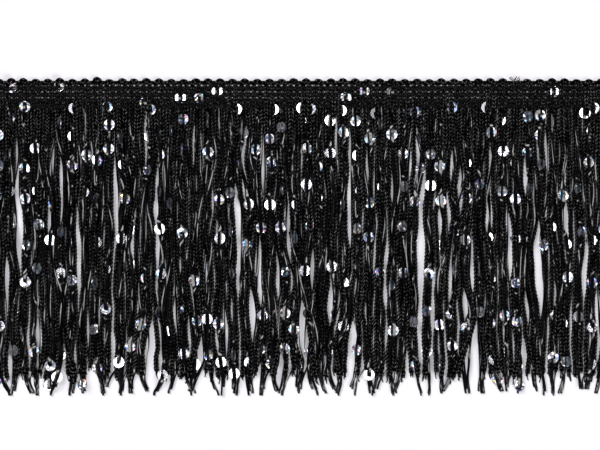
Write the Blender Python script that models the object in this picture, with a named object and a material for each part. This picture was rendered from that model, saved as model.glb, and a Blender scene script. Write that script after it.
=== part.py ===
"""Sequin fringe trim, lying flat with its face up.

A crochet-knit header with a scalloped picot edge holds a row of knitted chainette
cords. Sequin yarns start from the same header and lie over the cords, and their tips
come down to the surface past the cords' cut ends.

Origin: centre of the header's back. +X runs along the trim, +Y points to the scalloped
edge and +Z up from the surface it lies on. Lengths below are in millimetres.
"""
import math

import bmesh
import bpy
from mathutils import Matrix, Vector

MM = 0.001

# Trim and header
LENGTH = 300.0
HEADER_TOP = 7.25
HEADER_BOTTOM = -7.25
PICOT_VALLEY = 5.6
PICOT_HALF_WIDTH = 2.3
PICOT_THICK = 1.6
SCALLOPS = 52
GROUND_THICK = 1.75
CHAIN_ROWS = (2.35, -0.55, -3.4, -6.2)
CHAIN_FOOT = 0.98
CHAIN_CROWN = 0.5
CHAIN_TOP = 2.55

# Backing strips of the two fringes, parted from the header's lower edge
STRIP_TOP = -7.55
STRIP_BOTTOM = -9.55
STRIP_TIE = 26

# Chainette cords: two legs to a scallop, cut straight across
CORDS = 2 * SCALLOPS
LEG = LENGTH / CORDS
CORD_WIDTH = 1.9
CORD_THICK = 1.6
CORD_END = -130.4
CORD_RAGGED = 1.5
CORD_LEAST = 2.22
CORD_STEPS = (-22.0, -40.0, -60.0, -82.0, -106.0)

# Sequin yarns: one to a scallop, over the cords
YARN_LOW = 1.9
YARN_WIDTH = 1.2
YARN_THICK = 0.5
YARN_LEAST = 3.75
YARN_DROP_FROM = -133.2
YARN_DROP_TO = -136.6
YARN_END = -140.4
YARN_RAGGED = 2.35

# Sequins, fused to the yarn that threads them, in loose rows across the fringe
SEQUIN_RADIUS = 2.75
SEQUIN_ROWS = (-16.8, -30.5, -47.5, -66.5, -85.5, -106.0, -124.0)
SEQUIN_ZIGZAG = 2.9
SEQUIN_JITTER = 0.6
SEQUIN_MISSING = 0.3
SEQUIN_ROLL = math.radians(11.0)

# Sway of the hanging strands
SWAY_WIDE = 1.3
SWAY_NEAR = 0.8
SLIT_REACH = 11.0

# Slits where the cords part: middle x, top y, bottom y, width
SLITS = (
    (-131.6, -19.0, -85.3, 2.2),
    (-125.0, -79.0, -150.0, 2.3),
    (-102.5, -26.0, -47.0, 1.2),
    (-87.7, -16.7, -73.1, 1.4),
    (-71.9, -9.8, -38.3, 1.8),
    (-77.5, -52.4, -88.6, 1.8),
    (-65.3, -49.6, -100.3, 2.5),
    (-72.4, -93.3, -122.0, 2.2),
    (-87.0, -112.0, -150.0, 2.6),
    (-68.6, -106.0, -152.0, 4.4),
    (-31.0, -9.8, -26.0, 1.5),
    (-25.1, -12.5, -50.1, 1.8),
    (-18.5, -15.3, -50.1, 2.0),
    (-28.0, -49.1, -86.2, 3.1),
    (-20.2, -49.6, -102.2, 2.2),
    (-6.8, -40.7, -64.6, 2.2),
    (5.2, -69.3, -99.4, 2.3),
    (23.5, -16.7, -73.1, 2.3),
    (-34.3, -84.4, -128.0, 1.9),
    (-22.1, -90.9, -120.0, 2.6),
    (41.1, -61.8, -87.7, 1.6),
    (-1.4, -94.7, -126.0, 3.6),
    (24.6, -104.6, -152.0, 4.0),
    (17.9, -10.6, -28.4, 1.3),
    (55.0, -17.6, -50.1, 1.8),
    (58.3, -38.3, -150.0, 2.9),
    (71.4, -26.1, -43.9, 1.4),
    (88.8, -40.7, -68.4, 1.3),
    (97.8, -53.8, -91.4, 2.3),
    (116.1, -16.7, -36.4, 2.0),
    (112.1, -56.2, -106.5, 3.4),
    (122.7, -30.8, -73.1, 1.9),
    (82.3, -116.0, -150.0, 1.9),
)


# Shared helpers

def part_value(number, salt):
    """Repeatable value from 0 to 1 for a numbered strand."""
    value = math.sin(number * 12.9898 + salt * 78.233) * 43758.5453
    return value - math.floor(value)


def drop(y):
    """How far down the fringe y lies: 0 at the backing strip, 1 at the cord ends."""
    return max(0.0, (STRIP_BOTTOM - y) / (STRIP_BOTTOM - CORD_END))


def slit_push(x, y):
    """Sideways push from the slits that are open at this height."""
    push = 0.0
    for number, (middle, top, bottom, width) in enumerate(SLITS):
        if not bottom < y < top:
            continue
        at_leg = round((middle + LENGTH / 2) / LEG) * LEG - LENGTH / 2
        away = x - at_leg
        if abs(away) >= SLIT_REACH:
            continue
        side = math.copysign(1.0, away) if abs(away) > 0.01 else 1.0 - 2.0 * (number % 2)
        lens = math.sin(math.pi * (top - y) / (top - bottom)) ** 0.6
        push += side * 0.5 * width * lens * (1.0 - abs(away) / SLIT_REACH)
    return push


def sway(x, y):
    """Gentle shared waving that grows towards the free ends."""
    t = drop(y)
    wide = SWAY_WIDE * math.sin(x / 21.0 + 2.6 * t)
    near = SWAY_NEAR * math.sin(x / 8.3 - 4.1 * t)
    return t * (wide + near)


def lay_row(rest, y, least, half):
    """Sideways places of a whole row of strands at one height, kept apart."""
    places = [x + slit_push(x, y) + sway(x, y) for x in rest]
    for _ in range(80):
        for k in range(len(places) - 1):
            short = least - (places[k + 1] - places[k])
            if short > 0.0:
                places[k] -= short / 2
                places[k + 1] += short / 2
    places[0] = max(places[0], half - LENGTH / 2)
    places[-1] = min(places[-1], LENGTH / 2 - half)
    return places


def new_collection(name):
    group = bpy.data.collections.new(name)
    bpy.context.scene.collection.children.link(group)
    return group


def new_material(name, colour, roughness, metallic):
    material = bpy.data.materials.new(name)
    material.use_nodes = True
    shader = material.node_tree.nodes["Principled BSDF"]
    shader.inputs["Base Color"].default_value = (*colour, 1.0)
    shader.inputs["Roughness"].default_value = roughness
    shader.inputs["Metallic"].default_value = metallic
    return material


def outline_body(name, outline, thick, placing, group):
    """Solid plate from a closed outline, made with a filled and extruded curve."""
    curve = bpy.data.curves.new(name + "_outline", "CURVE")
    curve.dimensions = "2D"
    curve.fill_mode = "BOTH"
    curve.extrude = thick / 2 * MM
    spline = curve.splines.new("POLY")
    spline.points.add(len(outline) - 1)
    spline.use_cyclic_u = True
    for point, (u, v) in zip(spline.points, outline):
        point.co = (u * MM, v * MM, 0.0, 1.0)
    pattern = bpy.data.objects.new(name + "_pattern", curve)
    group.objects.link(pattern)
    bpy.context.view_layer.update()
    mesh = bpy.data.meshes.new_from_object(pattern)
    bpy.data.objects.remove(pattern)
    bpy.data.curves.remove(curve)
    mesh.name = name
    mesh.transform(placing)
    work = bmesh.new()
    work.from_mesh(mesh)
    bmesh.ops.remove_doubles(work, verts=work.verts, dist=0.00001)
    bmesh.ops.recalc_face_normals(work, faces=work.faces)
    work.to_mesh(mesh)
    work.free()
    body = bpy.data.objects.new(name, mesh)
    group.objects.link(body)
    return body


# Start from an empty scene
for thing in list(bpy.data.objects):
    bpy.data.objects.remove(thing)

trim = new_collection("sequin_fringe_trim")
joined = new_collection("joined_shapes")

black_knit = new_material("black_header_knit", (0.012, 0.011, 0.014), 0.85, 0.0)
black_cord = new_material("black_chainette", (0.010, 0.010, 0.012), 0.9, 0.0)
silver_film = new_material("silver_sequin_film", (0.78, 0.79, 0.82), 0.2, 0.9)


# Header ground: flat back, four raised chain rows along the face
section = [(HEADER_BOTTOM, 0.0), (PICOT_VALLEY, 0.0), (PICOT_VALLEY, GROUND_THICK)]
for row in CHAIN_ROWS:
    section.append((row + CHAIN_FOOT, GROUND_THICK))
    section.append((row + CHAIN_CROWN, CHAIN_TOP))
    section.append((row - CHAIN_CROWN, CHAIN_TOP))
    section.append((row - CHAIN_FOOT, GROUND_THICK))
section.append((HEADER_BOTTOM, GROUND_THICK))
along_x = Matrix(((0, 0, 1, 0), (1, 0, 0, 0), (0, 1, 0, 0), (0, 0, 0, 1)))
header = outline_body("header_tape", section, LENGTH, along_x, trim)

# Picot edge: one rounded loop of cord to a scallop, with a low shoulder between two
edge = [(-LENGTH / 2, 4.4), (LENGTH / 2, 4.4), (LENGTH / 2, PICOT_VALLEY + 0.25)]
for scallop in reversed(range(SCALLOPS)):
    centre = (2 * scallop + 1) * LEG - LENGTH / 2
    for step in range(7):
        turn = math.pi * step / 6
        rise = (HEADER_TOP - PICOT_VALLEY - 0.25) * math.sin(turn) ** 0.8
        edge.append((centre + PICOT_HALF_WIDTH * math.cos(turn), PICOT_VALLEY + 0.25 + rise))
edge.append((-LENGTH / 2, PICOT_VALLEY + 0.25))
lift = Matrix.Translation((0.0, 0.0, PICOT_THICK / 2 * MM))
picots = outline_body("picot_edge", edge, PICOT_THICK, lift, joined)
picots.hide_render = True
picots.display_type = "WIRE"
union = header.modifiers.new("picot_union", "BOOLEAN")
union.operation = "UNION"
union.solver = "EXACT"
union.object = picots
header.data.materials.append(black_knit)


# Fringes: strands drawn out of the lower edge of a narrow backing strip

def fringe(name, rest, half, low, high, paths, material):
    """Backing strip with one strand to each path.

    A path is a list of stations: x, y, underside z, half width, thickness, roll.
    Lines across the strip are dissolved behind its front face, apart from a few ties.
    """
    columns = [-LENGTH / 2]
    for x in rest:
        columns += [x - half, x + half]
    columns.append(LENGTH / 2)
    ties = columns[::STRIP_TIE] + [LENGTH / 2]
    work = bmesh.new()
    bmesh.ops.create_grid(work, x_segments=len(columns) - 1, y_segments=1, size=1.0)
    work.verts.ensure_lookup_table()
    for k, vert in enumerate(work.verts):
        level = low if k < len(columns) else high
        vert.co = Vector((columns[k % len(columns)], STRIP_BOTTOM, level)) * MM
    front = sorted(work.faces, key=lambda face: face.calc_center_median().x)
    grown = bmesh.ops.extrude_face_region(work, geom=front)
    back = [item for item in grown["geom"] if isinstance(item, bmesh.types.BMVert)]
    bmesh.ops.translate(work, verts=back, vec=(0.0, (STRIP_TOP - STRIP_BOTTOM) * MM, 0.0))
    plain = []
    for line in work.edges:
        middle = (line.verts[0].co + line.verts[1].co) / 2
        crosswise = abs(line.verts[0].co.x - line.verts[1].co.x) < 1e-6
        kept = min(abs(middle.x / MM - place) for place in ties) < 0.01
        if crosswise and middle.y > (STRIP_BOTTOM + 0.1) * MM and not kept:
            plain.append(line)
    bmesh.ops.dissolve_edges(work, edges=plain, use_verts=True)
    for face, path in zip(front[1::2], paths):
        centre = face.calc_center_median()
        corners = [(1 if v.co.x > centre.x else -1, 1 if v.co.z > centre.z else -1) for v in face.verts]
        for x, y, under, wide, thick, roll in path:
            face = bmesh.ops.extrude_discrete_faces(work, faces=[face])["faces"][0]
            rise = under + thick / 2 + wide * math.sin(abs(roll))
            for vert, (across, up) in zip(face.verts, corners):
                u = across * wide
                v = up * thick / 2
                dx = u * math.cos(roll) - v * math.sin(roll)
                dz = u * math.sin(roll) + v * math.cos(roll)
                vert.co = Vector((x + dx, y, rise + dz)) * MM
    bmesh.ops.recalc_face_normals(work, faces=work.faces)
    mesh = bpy.data.meshes.new(name)
    work.to_mesh(mesh)
    work.free()
    mesh.materials.append(material)
    body = bpy.data.objects.new(name, mesh)
    trim.objects.link(body)
    return body


# Chainette cords, level on the surface, ends cut a little unevenly
cord_rest = [(k + 0.5) * LEG - LENGTH / 2 for k in range(CORDS)]
cord_rows = [(y, lay_row(cord_rest, y, CORD_LEAST, CORD_WIDTH / 2)) for y in CORD_STEPS]
end_row = lay_row(cord_rest, CORD_END, CORD_LEAST, CORD_WIDTH / 2)
cord_paths = []
for k in range(CORDS):
    path = [(row[k], y, 0.0, CORD_WIDTH / 2, CORD_THICK, 0.0) for y, row in cord_rows]
    cut = CORD_END + CORD_RAGGED * (2.0 * part_value(k, 1) - 1.0)
    path.append((end_row[k], cut, 0.0, CORD_WIDTH / 2, CORD_THICK, 0.0))
    cord_paths.append(path)
fringe("chainette_fringe", cord_rest, CORD_WIDTH / 2, 0.0, CORD_THICK, cord_paths, black_cord)


# Sequin yarns over the cords: thin between the sequins, widened to a disc at each one
yarn_rest = [(2 * k + 1) * LEG - LENGTH / 2 for k in range(SCALLOPS)]
DISC = ((1.0, YARN_WIDTH / 2), (0.41, SEQUIN_RADIUS), (-0.41, SEQUIN_RADIUS), (-1.0, YARN_WIDTH / 2))


def yarn_path(k):
    """Stations of one sequin yarn, from its root to its tip on the surface."""
    path = []
    zigzag = SEQUIN_ZIGZAG * (1.0 - 2.0 * (k % 2))
    for number, row in enumerate(SEQUIN_ROWS):
        token = k * len(SEQUIN_ROWS) + number
        if part_value(token, 5) < SEQUIN_MISSING:
            continue
        middle = row + zigzag + SEQUIN_JITTER * (2.0 * part_value(token, 2) - 1.0)
        roll = SEQUIN_ROLL * (2.0 * part_value(token, 3) - 1.0)
        rise = SEQUIN_RADIUS * math.sin(abs(roll))
        for share, wide in DISC:
            y = middle + share * SEQUIN_RADIUS
            x = lay_row(yarn_rest, y, YARN_LEAST, SEQUIN_RADIUS)[k]
            under = YARN_LOW + rise - wide * math.sin(abs(roll))
            path.append((x, y, under, wide, YARN_THICK, roll))
    tip = YARN_END - YARN_RAGGED * (2.0 * part_value(k, 4) - 1.0)
    for y, under in ((YARN_DROP_FROM, YARN_LOW), (YARN_DROP_TO, 0.0), (tip, 0.0)):
        x = lay_row(yarn_rest, y, YARN_LEAST, SEQUIN_RADIUS)[k]
        path.append((x, y, under, YARN_WIDTH / 2, YARN_THICK, 0.0))
    return path


yarn_paths = [yarn_path(k) for k in range(SCALLOPS)]
yarn_high = YARN_LOW + YARN_THICK
fringe("sequin_fringe", yarn_rest, YARN_WIDTH / 2, YARN_LOW, yarn_high, yarn_paths, silver_film)
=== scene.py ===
# %% [markdown]
# # Sequin fringe trim
#
# The real trim is a strip of crochet knitting with a deep fringe. Black knitted cords run up
# through the header, turn in a row of scallops and run back down. Between them hang flat
# filaments of black film that carry silver sequins. This lesson dresses the plain solids of
# the trim: the cords, the yarns and the sequins on them follow the same layout as the solids.
# Finer partings, more filaments and the sequins in the header and on the tips are added here.

import math

import bmesh
import bpy
import numpy as np
from mathutils import Matrix, Vector


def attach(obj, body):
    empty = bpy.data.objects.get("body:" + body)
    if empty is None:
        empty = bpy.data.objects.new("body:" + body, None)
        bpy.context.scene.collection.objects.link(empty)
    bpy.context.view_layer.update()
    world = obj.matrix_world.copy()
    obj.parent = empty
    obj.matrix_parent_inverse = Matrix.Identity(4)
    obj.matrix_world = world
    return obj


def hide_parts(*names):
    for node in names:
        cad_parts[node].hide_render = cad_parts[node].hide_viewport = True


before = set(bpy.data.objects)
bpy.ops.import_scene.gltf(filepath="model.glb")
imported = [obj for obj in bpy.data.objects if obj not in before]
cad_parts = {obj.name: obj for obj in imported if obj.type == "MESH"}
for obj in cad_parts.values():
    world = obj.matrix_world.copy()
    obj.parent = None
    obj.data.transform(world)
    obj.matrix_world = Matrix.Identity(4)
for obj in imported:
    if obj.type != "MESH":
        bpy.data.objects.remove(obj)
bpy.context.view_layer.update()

# %% [markdown]
# ## Working in millimetres
#
# Yarn and stitches are measured in millimetres, so the layout is worked out in them and
# turned to metres only when a mesh is written. The driving sizes are those of the solids:
# the scallops, the legs of cord, the strip at the foot of the header and the cut ends.

# %% Sizes of the trim
MM = 0.001
LENGTH = 300.0
SCALLOPS = 52
CORDS = 2 * SCALLOPS
LEG = LENGTH / CORDS
HEADER_TOP = 7.25
HEADER_BOTTOM = -7.25
CHAIN_ROWS = (2.35, -0.55, -3.4, -6.2)
FRINGE_TOP = -9.55
CORD_WIDTH = 2.3
CORD_THICK = 1.7
CORD_END = -130.4
CORD_RAGGED = 1.5
YARN_END = -140.4
YARN_RAGGED = 2.35
SEQUIN_RADIUS = 2.75
SEQUIN_ROWS = (-16.8, -30.5, -47.5, -66.5, -85.5, -106.0, -124.0)
SEQUIN_ZIGZAG = 2.9
SEQUIN_JITTER = 0.6
SEQUIN_MISSING = 0.3
SEQUIN_STRAY = 2.4
print("legs of cord:", CORDS, "pitch", round(LEG, 3), "mm")

# %% [markdown]
# ## Camera first
#
# The trim lies on a table and is seen from straight above, through a long lens so that the
# cords at the sides are seen from above as well. The picture is 282 mm wide on the table.

# %% Camera straight above the trim
VIEW_WIDTH = 282.0
VIEW_MIDDLE_Y = -61.8
LENS = 90.0
SENSOR = 36.0

camera_data = bpy.data.cameras.new("camera")
camera_data.lens = LENS
camera_data.sensor_width = SENSOR
camera = bpy.data.objects.new("camera", camera_data)
bpy.context.scene.collection.objects.link(camera)
camera.location = (0.0, VIEW_MIDDLE_Y * MM, VIEW_WIDTH * LENS / SENSOR * MM)
bpy.context.scene.camera = camera
print("camera height:", round(camera.location.z, 3), "m")

# %% [markdown]
# ## Values that repeat
#
# Handmade unevenness needs numbers that look random but are the same on every run. A sine of
# the strand's number gives them: one function gives 0 to 1, one gives -1 to 1, one picks from
# a range and one starts a wave. The second number, the salt, keeps the uses apart. Two more
# functions ease from 0 to 1 and keep a place between the cut ends of the trim.

# %% Repeatable values, a smooth step and the ends of the trim
def part_value(number, salt):
    """Repeatable value from 0 to 1 for a numbered strand."""
    value = math.sin(number * 12.9898 + salt * 78.233) * 43758.5453
    return value - math.floor(value)


def swing(number, salt):
    """Repeatable value from -1 to 1."""
    return 2.0 * part_value(number, salt) - 1.0


def pick_from(number, salt, low, high):
    """Repeatable value from low to high."""
    return low + (high - low) * part_value(number, salt)


def start_of_wave(number, salt, latest=6.0):
    """Repeatable place at which a strand's own waving starts, in radians."""
    return latest * part_value(number, salt)


def step_curve(values, start, end):
    """Smooth step from 0 at start to 1 at end."""
    t = np.clip((values - start) / (end - start), 0.0, 1.0)
    return t * t * (3.0 - 2.0 * t)


def within_trim(xs, margin):
    """Sideways places, kept a margin inside the two cut ends of the trim."""
    return np.clip(xs, margin - LENGTH / 2, LENGTH / 2 - margin)


print("first values:", [round(part_value(number, 0), 3) for number in range(3)])

# %% [markdown]
# ## Where the strands lie
#
# The cords aren't evenly spaced. They part in long lens-shaped slits and crowd together
# beside them. A short table names the slits, and one function pushes every strand away from
# the slits near it. A second function opens finer partings between them, and a third adds a
# gentle sway. The solids were laid out with the same slits and the same sway.

# %% Slits where the cords part: middle x, top y, bottom y, width
SLITS = (
    (-131.6, -19.0, -85.3, 2.2),
    (-125.0, -79.0, -150.0, 2.3),
    (-102.5, -26.0, -47.0, 1.2),
    (-87.7, -16.7, -73.1, 1.4),
    (-71.9, -9.8, -38.3, 1.8),
    (-77.5, -52.4, -88.6, 1.8),
    (-65.3, -49.6, -100.3, 2.5),
    (-72.4, -93.3, -122.0, 2.2),
    (-87.0, -112.0, -150.0, 2.6),
    (-68.6, -106.0, -152.0, 4.4),
    (-31.0, -9.8, -26.0, 1.5),
    (-25.1, -12.5, -50.1, 1.8),
    (-18.5, -15.3, -50.1, 2.0),
    (-28.0, -49.1, -86.2, 3.1),
    (-20.2, -49.6, -102.2, 2.2),
    (-6.8, -40.7, -64.6, 2.2),
    (5.2, -69.3, -99.4, 2.3),
    (23.5, -16.7, -73.1, 2.3),
    (-34.3, -84.4, -128.0, 1.9),
    (-22.1, -90.9, -120.0, 2.6),
    (41.1, -61.8, -87.7, 1.6),
    (-1.4, -94.7, -126.0, 3.6),
    (24.6, -104.6, -152.0, 4.0),
    (17.9, -10.6, -28.4, 1.3),
    (55.0, -17.6, -50.1, 1.8),
    (58.3, -38.3, -150.0, 2.9),
    (71.4, -26.1, -43.9, 1.4),
    (88.8, -40.7, -68.4, 1.3),
    (97.8, -53.8, -91.4, 2.3),
    (116.1, -16.7, -36.4, 2.0),
    (112.1, -56.2, -106.5, 3.4),
    (122.7, -30.8, -73.1, 1.9),
    (82.3, -116.0, -150.0, 1.9),
)
SLIT_REACH, SLIT_ROUNDNESS = 11.0, 0.6
ON_LEG = 0.01


def slit_push(x, y):
    """Sideways push from the slits that are open at this height."""
    push = 0.0
    for number, (middle, top, bottom, width) in enumerate(SLITS):
        if not bottom < y < top:
            continue
        at_leg = round((middle + LENGTH / 2) / LEG) * LEG - LENGTH / 2
        away = x - at_leg
        if abs(away) >= SLIT_REACH:
            continue
        side = math.copysign(1.0, away) if abs(away) > ON_LEG else 1.0 - 2.0 * (number % 2)
        lens = math.sin(math.pi * (top - y) / (top - bottom)) ** SLIT_ROUNDNESS
        push += side * 0.5 * width * lens * (1.0 - abs(away) / SLIT_REACH)
    return push


print("slits:", len(SLITS))

# %% Fine partings and the shared sway: reach, wave across, shift towards the ends
PARTINGS = 150
PARTING_LENGTH, PARTING_WIDTH = (12.0, 46.0), (0.7, 2.0)
PARTING_REACH, PARTING_ROUNDNESS = 6.0, 0.7
PARTING_START, PARTING_DEPTH = 4.0, 118.0
SWAYS = ((1.3, 21.0, 2.6), (0.8, 8.3, -4.1))


def parting_push(x, y):
    """Sideways push from the fine partings that are scattered between the slits."""
    push = 0.0
    for number in range(PARTINGS):
        length = pick_from(number, 51, *PARTING_LENGTH)
        top = FRINGE_TOP - PARTING_START - PARTING_DEPTH * part_value(number, 52)
        if not top - length < y < top:
            continue
        away = x - (LEG * (1 + int((CORDS - 1) * part_value(number, 53))) - LENGTH / 2)
        if abs(away) >= PARTING_REACH:
            continue
        lens = math.sin(math.pi * (top - y) / length) ** PARTING_ROUNDNESS
        width = pick_from(number, 54, *PARTING_WIDTH)
        push += math.copysign(0.5, away) * width * lens * (1.0 - abs(away) / PARTING_REACH)
    return push


def sway(x, y):
    """Gentle shared waving that grows towards the free ends."""
    t = max(0.0, (FRINGE_TOP - y) / (FRINGE_TOP - CORD_END))
    return t * sum(reach * math.sin(x / across + turns * t) for reach, across, turns in SWAYS)


print("fine partings:", PARTINGS)

# %% [markdown]
# ## Rows turned into strands
#
# Strands can't lie in each other, so a whole row of them is laid at once: each is pushed to
# its place, and neighbours that are too close share the distance until none are. Rows are
# laid every two millimetres down the fringe. The place of one strand at any height is read
# between two rows, with a little wavering. In the header every strand stands at its own leg.

# %% Lay the rows once
ROW_STEP = 2.0
ROWS_END = -146.0
SPREAD_ROUNDS = 80
CORD_APART, CORD_HALF = 2.05, 1.1
YARN_APART = 3.75


def lay_row(rest, y, least, half):
    """Sideways places of a whole row of strands at one height, kept apart."""
    places = [x + slit_push(x, y) + parting_push(x, y) + sway(x, y) for x in rest]
    for _ in range(SPREAD_ROUNDS):
        for k in range(len(places) - 1):
            short = least - (places[k + 1] - places[k])
            if short > 0.0:
                places[k] -= short / 2
                places[k + 1] += short / 2
    places[0] = max(places[0], half - LENGTH / 2)
    places[-1] = min(places[-1], LENGTH / 2 - half)
    return places


row_heights = np.arange(HEADER_TOP, ROWS_END, -ROW_STEP)
cord_rest = [(k + 0.5) * LEG - LENGTH / 2 for k in range(CORDS)]
yarn_rest = [(2 * k + 1) * LEG - LENGTH / 2 for k in range(SCALLOPS)]
cord_rows = np.array([lay_row(cord_rest, y, CORD_APART, CORD_HALF) for y in row_heights])
yarn_rows = np.array([lay_row(yarn_rest, y, YARN_APART, SEQUIN_RADIUS) for y in row_heights])
print("rows laid:", len(row_heights))

# %% Read a strand's place between the rows: reach of each wavering, wave across and down
WAVERS = ((0.5, 5.1, -9.5), (0.25, 2.9, 5.6))
WAVER_START = 25.0
STEADY_ENDS = 8.0


def read_rows(rows, k, heights):
    """Place of strand k at each height, with the wavering that neighbours share."""
    heights = np.asarray(heights, float)
    places = np.interp(-heights, -row_heights, rows[:, k])
    free = np.clip((FRINGE_TOP - heights) / WAVER_START, 0.0, 1.0)
    free = free * np.clip((LENGTH / 2 - np.abs(places)) / STEADY_ENDS, 0.0, 1.0)
    wavering = sum(
        reach * np.sin(places / across + heights / down) for reach, across, down in WAVERS)
    return places + free * wavering


print("first cord at its cut end, mm:", round(float(read_rows(cord_rows, 0, CORD_END)), 2))

# %% [markdown]
# ## Where the sequins sit
#
# Each film yarn is threaded with sequins, and the sequins fall in loose rows across the
# fringe. On the real trim they sit in five ways: flat on the cords, half tucked under a cord,
# leaning, nearly on edge between two cords, or sunk below the cords. A repeatable value picks
# the way for each one, and gives it a turn, a slight crease along its thread, and its height.
# A disc that faces the lamp may be given plain silver on either half, which reflects the lamp
# white; one that doesn't is given the painted rainbow reflection of the grating.

# %% Give every sequin its place and tilt
STYLES = ((0.3, "flat"), (0.55, "tucked"), (0.73, "leaning"), (0.84, "edge"), (1.0, "buried"))
CORD_TOP = 1.8
FLAT_ROLL, FLAT_CLEAR = 12.0, 0.25
TUCK_ROLL, TUCK_HEIGHT, TUCK_SINK = 4.0, 2.0, 0.25
MOST_BURIED = 1.4
LEANING_ROLL, EDGE_ROLL = (16.0, 40.0), (58.0, 80.0)
BURIED_ROLL, BURIED_HEIGHT = 3.0, 0.65
RIM_RISE = {"flat": 0.8, "leaning": 0.75, "edge": 0.72}
MOST_PITCH = 6.0
FACING_ROLL, FACING_PITCH = 8.0, 4.6
PLAIN_SHARE = 0.70
PLAIN_SHIMMER, SHIMMERS = 0.12, (0.4, 1.0)
PLAIN_CREASE, MOST_CREASE = 0.12, 0.3
THREAD_SHARES = (0.875, 0.9375)


def rolled_height(base, roll, style):
    """Height of a disc's centre above the base that its lower rim leans on."""
    return base + RIM_RISE[style] * SEQUIN_RADIUS * math.sin(math.radians(abs(roll)))


def set_sequin(token, x, y, style=None):
    """One sequin: where it is, how it is tilted and creased, and how it takes thread and light.

    Its thread lies over its face (0), comes up through the hole (1) or goes down through it (2).
    """
    side = 1 if part_value(token, 7) < 0.5 else -1
    pitch = MOST_PITCH * swing(token, 9)
    bury = 0.0
    if style is None:
        style = next(name for share, name in STYLES if part_value(token, 6) < share)
    if style == "flat":
        roll = FLAT_ROLL * swing(token, 8)
        z = rolled_height(CORD_TOP + FLAT_CLEAR, roll, style)
    elif style == "tucked":
        roll = side * TUCK_ROLL
        bury = MOST_BURIED * part_value(token, 18)
        z = TUCK_HEIGHT - TUCK_SINK * bury
    elif style in ("leaning", "edge"):
        roll = side * pick_from(token, 8, *(LEANING_ROLL if style == "leaning" else EDGE_ROLL))
        z = rolled_height(CORD_TOP, roll, style)
    else:
        roll = BURIED_ROLL * swing(token, 8)
        z = BURIED_HEIGHT
    # Whether a disc gets plain silver or the painted rainbow reflection is picked by whether it
    # faces the lamp.
    faces_lamp = abs(roll) < FACING_ROLL and abs(pitch) < FACING_PITCH
    plain = [faces_lamp and part_value(token, salt) < PLAIN_SHARE for salt in (19, 20)]
    return {
        "x": x + side * bury, "y": y, "z": z, "side": side, "style": style, "bury": side * bury,
        "roll": math.radians(roll), "pitch": math.radians(pitch),
        "crease": (PLAIN_CREASE if all(plain) else MOST_CREASE) * swing(token, 10),
        "thread": sum(part_value(token, 11) >= share for share in THREAD_SHARES),
        "shimmer": [PLAIN_SHIMMER if calm else pick_from(token, 25, *SHIMMERS) for calm in plain],
    }


sequins = []
for k in range(SCALLOPS):
    for number, row in enumerate(SEQUIN_ROWS):
        token = k * len(SEQUIN_ROWS) + number
        if part_value(token, 5) < SEQUIN_MISSING:
            continue
        y = row + SEQUIN_ZIGZAG * (1.0 - 2.0 * (k % 2)) + SEQUIN_JITTER * swing(token, 2)
        y += SEQUIN_STRAY * swing(token, 16)
        sequins.append(set_sequin(token, float(read_rows(yarn_rows, k, y)), y))
        sequins[-1]["yarn"] = k
print("sequins in the fringe:", len(sequins))

# %% [markdown]
# ## Sequins at the foot of the header
#
# A row of sequins comes out from under the last stitches, most of them half covered by the
# leg of cord beside them, and a few more are caught under the stitches of the header itself.
# They were charted one by one, because they don't repeat.

# %% Sequins at the header's foot: x, y, covered side (0 for none), shimmer
FOOT_TOKENS = 900
FOOT_HEIGHT = 2.5
FOOT_COVER = 0.55
CHARTED_CREASE = 0.05
FOOT_SEQUINS = (
    (-128.8, -6.4, 0, 0.9), (-107.1, -7.1, 1, 0.0), (-90.0, -6.5, -1, 0.9), (-69.4, -7.7, -1, 0.9),
    (-29.0, -7.5, -1, 0.0), (-13.2, -7.7, -1, 0.0), (0.2, -7.0, 1, 0.0), (4.5, -7.5, -1, 0.6),
    (19.2, -8.2, -1, 0.0), (36.2, -9.5, 1, 0.0), (53.6, -8.8, -1, 0.9), (72.6, -6.6, -1, 0.8),
    (87.7, -6.7, 1, 0.0), (112.5, -10.4, 0, 0.5), (133.4, -9.3, 0, 0.1), (137.4, -7.0, -1, 0.4),
)


def chart_sequin(token, x, y, shimmer, half_tucked=False, **placing):
    """Adds a charted sequin: nearly uncreased, with one shimmer all over."""
    at = set_sequin(token, x, y, "tucked" if half_tucked else "flat")
    at.update(crease=CHARTED_CREASE, shimmer=[shimmer, shimmer], **placing)
    sequins.append(at)
    return at


for number, (x, y, side, shimmer) in enumerate(FOOT_SEQUINS):
    at = chart_sequin(FOOT_TOKENS + number, x, y, shimmer, side != 0, z=FOOT_HEIGHT, yarn=None)
    if side:
        over_leg = round((x + side * FOOT_COVER + LENGTH / 2) / LEG - 0.5)
        at.update(x=cord_rest[over_leg] - side * FOOT_COVER, side=side, bury=0.0,
                  roll=side * math.radians(TUCK_ROLL))
print("sequins at the foot:", len(FOOT_SEQUINS))

# %% Sequins in the header: x, y, height, roll, shimmer
HEADER_SEQUINS = (
    (-135.1, 2.9, 1.6, -17.0, 0.4), (-113.0, 3.3, 1.6, -17.0, 0.3), (-72.6, -4.4, 2.1, 7.0, 0.6),
    (-56.0, -2.1, 2.1, 1.5, 0.2), (-47.2, -2.4, 1.65, 14.0, 0.9), (-38.8, 0.9, 2.1, -1.5, 0.3),
    (21.5, -2.0, 2.1, 3.0, 0.5), (30.2, 0.8, 1.7, -12.0, 0.7), (43.0, 0.7, 1.4, 20.0, 0.6),
    (118.9, 0.8, 1.6, -14.0, 0.1),
)
HEADER_TOKENS = 950
PICOT_SEQUIN_Y = 2.0
for number, (x, y, height, roll, shimmer) in enumerate(HEADER_SEQUINS):
    chart_sequin(HEADER_TOKENS + number, x, y, shimmer, z=height, roll=math.radians(roll),
                 pitch=0.0, yarn=None)
tucked = [at for at in sequins if at["style"] == "tucked"]
stitched_in = [at for at in sequins if at["yarn"] is None]
print("sequins in the header:", len(HEADER_SEQUINS), "half tucked anywhere:", len(tucked))

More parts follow.
